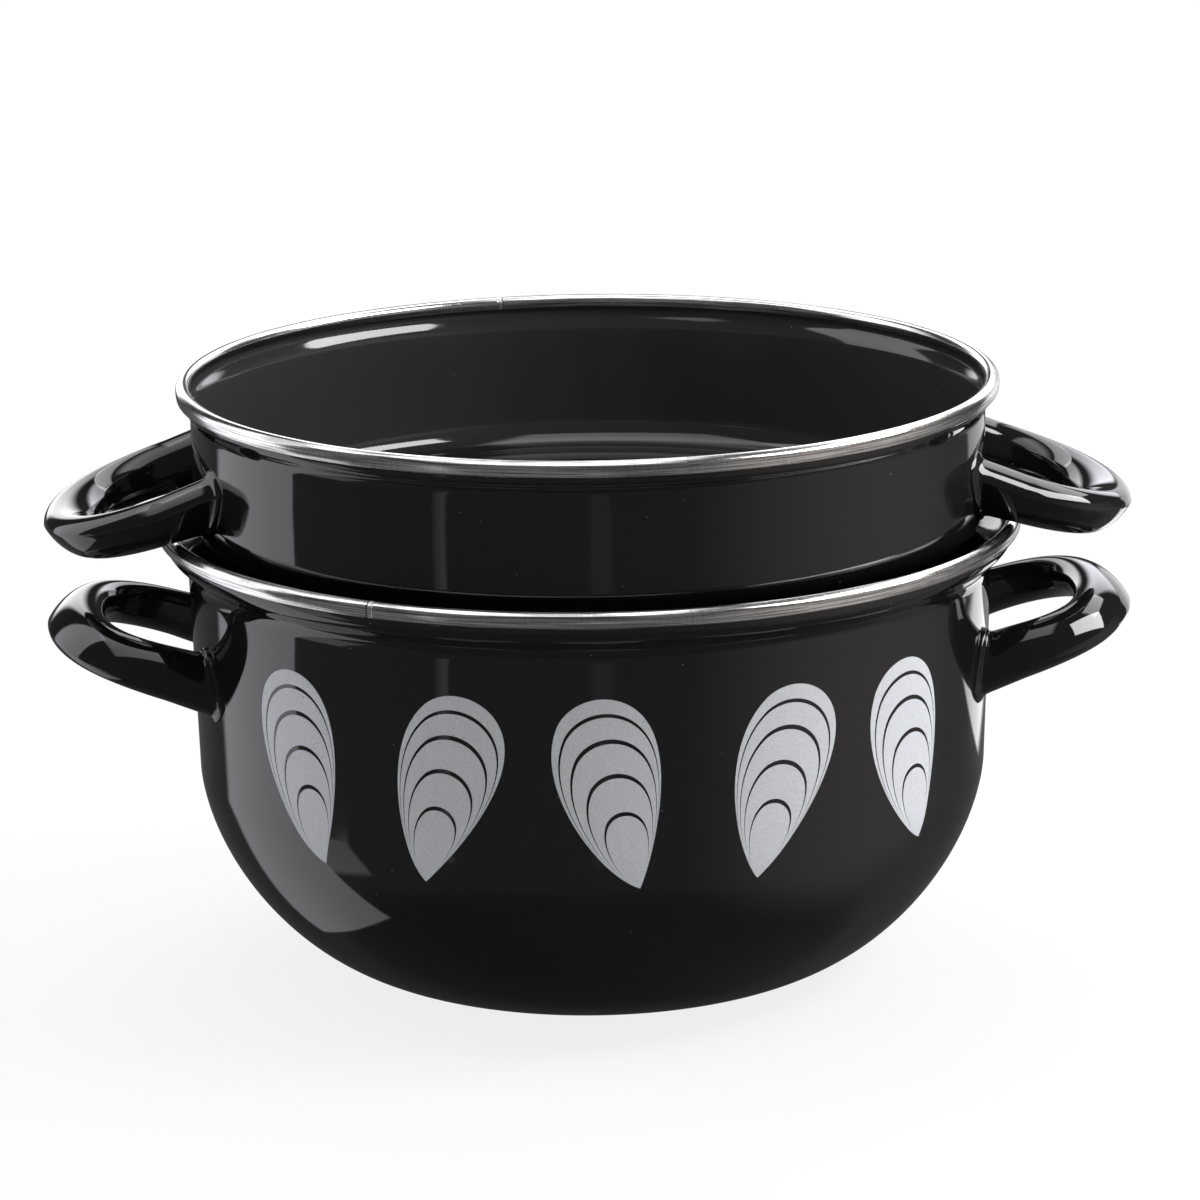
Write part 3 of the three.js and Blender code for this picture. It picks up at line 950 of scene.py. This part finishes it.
def lamp_glow(lamp, fade, rise, soft, cut):
    lamp.use_nodes = True
    tree = lamp.node_tree
    tree.nodes.clear()
    spot = Signal.make(tree, "ShaderNodeNewGeometry", take="Parametric")
    across, upward = parts(tree, spot, "XY")
    strength = (fade + across * (1.0 - fade)) * (rise + upward.ramp(0.0, RISE_SHARE) * (1.0 - rise))
    if soft:
        side, foot = soft
        strength = strength * across.ramp(0.0, side) * (1.0 - across).ramp(0.0, side)
        strength = strength * upward.ramp(0.0, foot)
    if cut:
        low_edge, high_edge, slant = cut
        edge = low_edge + upward.ramp(0.0, slant) * (high_edge - low_edge)
        strength = strength * (across - edge).ramp(0.0, CUT_EDGE)
    glow = Signal.make(tree, "ShaderNodeEmission", {}, {"Strength": strength})
    Signal.make(tree, "ShaderNodeOutputLight", {}, {"Surface": glow})


print("a cut edge fades over", CUT_EDGE, "of a lamp's width")

# %% Hanging a lamp
CAMERA_TURN = -3.0
WATTS_FOR_RADIANCE = 4.0


def sheet(name, place, target, width, height, radiance, colour=(1.0, 1.0, 1.0), mirrored=True,
          fade=1.0, rise=1.0, soft=None, cut=None, roll=0.0):
    lamp = bpy.data.lights.new(name, "AREA")
    lamp.shape = "RECTANGLE"
    lamp.size, lamp.size_y = width, height
    lamp.energy = WATTS_FOR_RADIANCE * width * height * radiance
    lamp.color = colour
    lamp_glow(lamp, fade, rise, soft, cut)
    piece = bpy.data.objects.new(name, lamp)
    piece.location = place
    facing = (Vector(target) - Vector(place)).to_track_quat("-Z", "Y").to_matrix()
    piece.rotation_euler = (facing @ Matrix.Rotation(math.radians(roll), 3, "Z")).to_euler()
    piece.visible_camera = False
    piece.visible_glossy = mirrored
    bpy.context.scene.collection.objects.link(piece)
    print("lamp:", name, round(lamp.energy, 2), "W")


def level_sheet(name, x, y, z, width, depth, radiance, look_at=0.0, **looks):
    sheet(name, (x, y, z), (x, y, look_at), width, depth, radiance, **looks)


def panel(name, azimuth, distance, width, low, high, radiance, aim=None, facing=None, **looks):
    turn = math.radians(azimuth + CAMERA_TURN)
    middle = (low + high) / 2
    place = Vector((distance * math.sin(turn), -distance * math.cos(turn), middle))
    target = Vector((0.0, 0.0, middle if aim is None else aim))
    if facing is not None:
        look = math.radians(facing + CAMERA_TURN)
        target = place - Vector((math.sin(look), -math.cos(look), 0.0))
    sheet(name, place, target, width, high - low, radiance, **looks)


print("the lamps turn with the camera, by", CAMERA_TURN, "degrees")

# %% Lamps on the left and overhead
LILAC, COOL, WARM = (0.97, 0.96, 1.03), (0.97, 0.97, 1.03), (1.0, 0.90, 0.86)
panel("left_panel", azimuth=-125.2, distance=0.983, width=1.186, low=-1.06, high=1.55, radiance=2.2,
      facing=-95.0, colour=LILAC, fade=0.45, rise=0.39, cut=(0.10, 0.413, 0.296))
panel("left_low", azimuth=-81.5, distance=1.1, width=0.38, low=-0.80, high=-0.30, radiance=0.6,
      soft=(0.12, 0.2))
level_sheet("overhead", -0.30, -0.10, 1.65, width=1.5, depth=1.44, radiance=1.1,
            fade=1.5, rise=1.8, soft=(0.10, 0.42), roll=180.0)
level_sheet("overhead_back", 0.10, 1.10, 1.65, width=1.8, depth=0.96, radiance=2.9, soft=(0.06, 0.15))
level_sheet("overhead_right", 1.45, 0.85, 1.65, width=0.90, depth=1.50, radiance=3.6, soft=(0.08, 0.10))

# %% Lamps on the right, with a patch of table
panel("right_key", azimuth=84.0, distance=1.05, width=0.92, low=0.82, high=1.28, radiance=11.0,
      aim=0.1, roll=-33.0)
panel("right_wall", azimuth=75.0, distance=1.5, width=3.5, low=-2.5, high=0.8, radiance=0.30,
      colour=WARM, soft=(0.5, 0.6))
panel("right_strip", azimuth=150.0, distance=1.2, width=0.60, low=-0.32, high=0.30, radiance=0.9,
      soft=(0.12, 0.5))
level_sheet("table_right", 0.286, 0.245, -0.004, width=0.175, depth=0.16, radiance=1.6, look_at=1.0,
            soft=(0.15, 0.05))

# %% Strips in front, sheets behind and the lamp for the print
panel("front_left_strip", azimuth=-41.2, distance=1.2, width=0.10, low=-0.50, high=0.02, radiance=0.55,
      fade=0.1, soft=(0.25, 0.3))
panel("front_strip", azimuth=3.0, distance=1.3, width=0.18, low=-0.60, high=0.0, radiance=0.10,
      soft=(0.3, 0.3))
panel("right_back", azimuth=160.0, distance=1.4, width=1.00, low=0.30, high=1.50, radiance=2.4,
      colour=COOL, soft=(0.2, 0.1))
panel("back_left", azimuth=-163.0, distance=1.7, width=0.80, low=0.0, high=1.9, radiance=2.0,
      soft=(0.25, 0.05))
panel("print_lamp", azimuth=92.0, distance=1.7, width=1.6, low=0.02, high=0.36, radiance=6.0,
      aim=0.1, mirrored=False)

# %% [markdown]
# ## The camera
# The picture was taken with a long lens from a little above the rim, and the pot was turned a few degrees.
# Here the pot stays square in its own frame, so the camera and the lamps are turned by those degrees
# instead.

# %% Camera
CAMERA_PLACE = (-0.0759, -1.4480, 0.4709)
HEADING, PITCH, ROLL = 0.109 - CAMERA_TURN, 14.28, -0.738
SENSOR, LENS = 36.0, 159.2


def make_camera():
    heading, pitch, roll = (math.radians(angle) for angle in (HEADING, PITCH, ROLL))
    level = math.cos(pitch)
    forward = Vector((math.sin(heading) * level, math.cos(heading) * level, -math.sin(pitch)))
    right = forward.cross(Vector((0.0, 0.0, 1.0))).normalized()
    up = right.cross(forward)
    right, up = (right * math.cos(roll) + up * math.sin(roll), up * math.cos(roll) - right * math.sin(roll))
    lens = bpy.data.cameras.new("camera")
    lens.sensor_width = SENSOR
    lens.lens = LENS
    camera = bpy.data.objects.new("camera", lens)
    turn = Matrix((right, up, -forward)).transposed()
    camera.matrix_world = Matrix.Translation(CAMERA_PLACE) @ turn.to_4x4()
    bpy.context.scene.collection.objects.link(camera)
    bpy.context.scene.camera = camera
    return camera


camera = make_camera()
bpy.context.scene.view_settings.view_transform = "Standard"
print("camera at", [round(v, 4) for v in camera.location])
